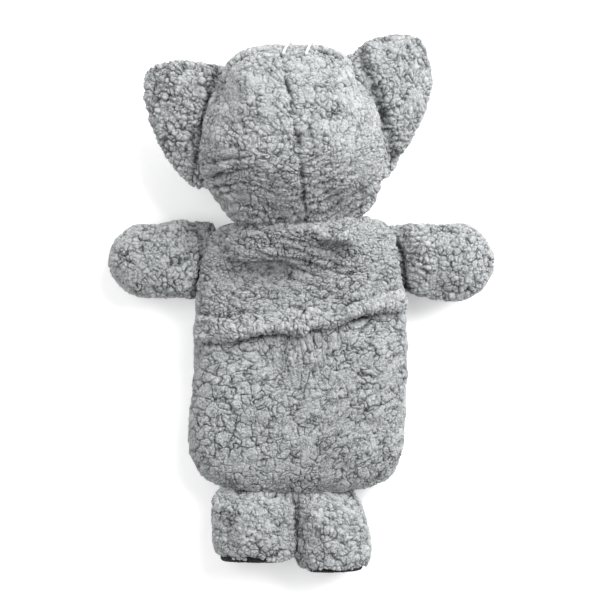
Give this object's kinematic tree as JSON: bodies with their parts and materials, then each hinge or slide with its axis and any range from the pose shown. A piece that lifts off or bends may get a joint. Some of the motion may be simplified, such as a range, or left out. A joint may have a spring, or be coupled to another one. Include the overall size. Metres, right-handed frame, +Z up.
{
  "type": "plush elephant heat cushion cover",
  "caption": "Flat plush elephant lying face down, with a curly grey pile skin, floppy ears and limbs, and an envelope pocket in its back that holds a heat cushion.",
  "frame": {"origin": "on the surface that the toy lies on, under the middle of the toy's outline", "axes": "+Z up out of the toy's back, +Y towards the crown of its head, +X towards the ear that stands higher"},
  "size_m": [0.2536, 0.3608, 0.0866],
  "materials": {
    "pile": "curly grey pile fleece, matt, with soft tips and dark gaps between its curls",
    "sole": "dark short-napped felt",
    "cotton": "plain woven natural cotton",
    "grain": "loose dry seeds or stones, taken as one solid",
    "stuffing": "white polyester fibre",
    "eye": "black moulded, polished",
    "washer": "white moulded",
    "loop": "thin white twisted cord"
  },
  "bodies": {
    "torso": {"belly_panel": "pile", "pocket_back_panel": "pile"},
    "flap": {"flap_panel": "pile", "flap_hem": "pile"},
    "cushion": {"cushion_cover_back": "cotton", "cushion_cover_front": "cotton", "cushion_filling": "grain"},
    "head": {"head_back_left": "pile", "head_back_right": "pile", "face_left": "pile", "face_right": "pile", "head_stuffing": "stuffing", "eye_left": "eye", "eye_right": "eye", "eye_washer_left": "washer", "eye_washer_right": "washer", "hang_loop": "loop"},
    "trunk": {"trunk_skin": "pile", "trunk_stuffing": "stuffing"},
    "ear_left": {"ear_back_left": "pile", "ear_front_left": "pile", "ear_wadding_left": "stuffing"},
    "ear_right": {"ear_back_right": "pile", "ear_front_right": "pile", "ear_wadding_right": "stuffing"},
    "arm_left": {"arm_skin_left": "pile", "arm_stuffing_left": "stuffing"},
    "arm_right": {"arm_skin_right": "pile", "arm_stuffing_right": "stuffing"},
    "leg_left": {"leg_skin_left": "pile", "leg_stuffing_left": "stuffing", "sole_left": "sole"},
    "leg_right": {"leg_skin_right": "pile", "leg_stuffing_right": "stuffing", "sole_right": "sole"}
  },
  "joints": [
    {"name": "neck_nod", "type": "hinge", "parent": "torso", "child": "head", "pos_m": [-0.0028, 0.057, 0.044], "axis": [1, 0, 0], "range_deg": [-2, 25], "stiffness_Nm_per_rad": 0.5},
    {"name": "trunk_swing", "type": "hinge", "parent": "head", "child": "trunk", "pos_m": [-0.0048, 0.0952, 0.015], "axis": [0, 0, 1], "range_deg": [-12, 12], "stiffness_Nm_per_rad": 0.02},
    {"name": "ear_left_fold", "type": "hinge", "parent": "head", "child": "ear_left", "pos_m": [-0.0626, 0.1242, 0.0445], "axis": [0.214, 0.9768, 0], "range_deg": [-10, 40], "stiffness_Nm_per_rad": 0.03},
    {"name": "ear_right_fold", "type": "hinge", "parent": "head", "child": "ear_right", "pos_m": [0.0497, 0.1301, 0.0445], "axis": [0.315, -0.9491, 0], "range_deg": [-10, 40], "stiffness_Nm_per_rad": 0.03},
    {"name": "shoulder_left", "type": "hinge", "parent": "torso", "child": "arm_left", "pos_m": [-0.0655, 0.031, 0.0245], "axis": [0.3099, 0.9508, 0], "range_deg": [-1, 50], "stiffness_Nm_per_rad": 0.06},
    {"name": "shoulder_right", "type": "hinge", "parent": "torso", "child": "arm_right", "pos_m": [0.0662, 0.031, 0.0245], "axis": [0.284, -0.9588, 0], "range_deg": [-1, 50], "stiffness_Nm_per_rad": 0.06},
    {"name": "hip_left", "type": "hinge", "parent": "torso", "child": "leg_left", "pos_m": [-0.0308, -0.122, 0.0205], "axis": [-1, 0, 0], "range_deg": [0, 30], "stiffness_Nm_per_rad": 0.06},
    {"name": "hip_right", "type": "hinge", "parent": "torso", "child": "leg_right", "pos_m": [0.0224, -0.123, 0.0205], "axis": [-1, 0, 0], "range_deg": [0, 30], "stiffness_Nm_per_rad": 0.06},
    {"name": "flap_open", "type": "hinge", "parent": "torso", "child": "flap", "pos_m": [0.0002, 0.0521, 0.0545], "axis": [-1, 0, 0], "range_deg": [0, 16]},
    {"name": "cushion_slide", "type": "slide", "parent": "torso", "child": "cushion", "axis": [0, 1, 0], "range_m": [0, 0.03]}
  ]
}
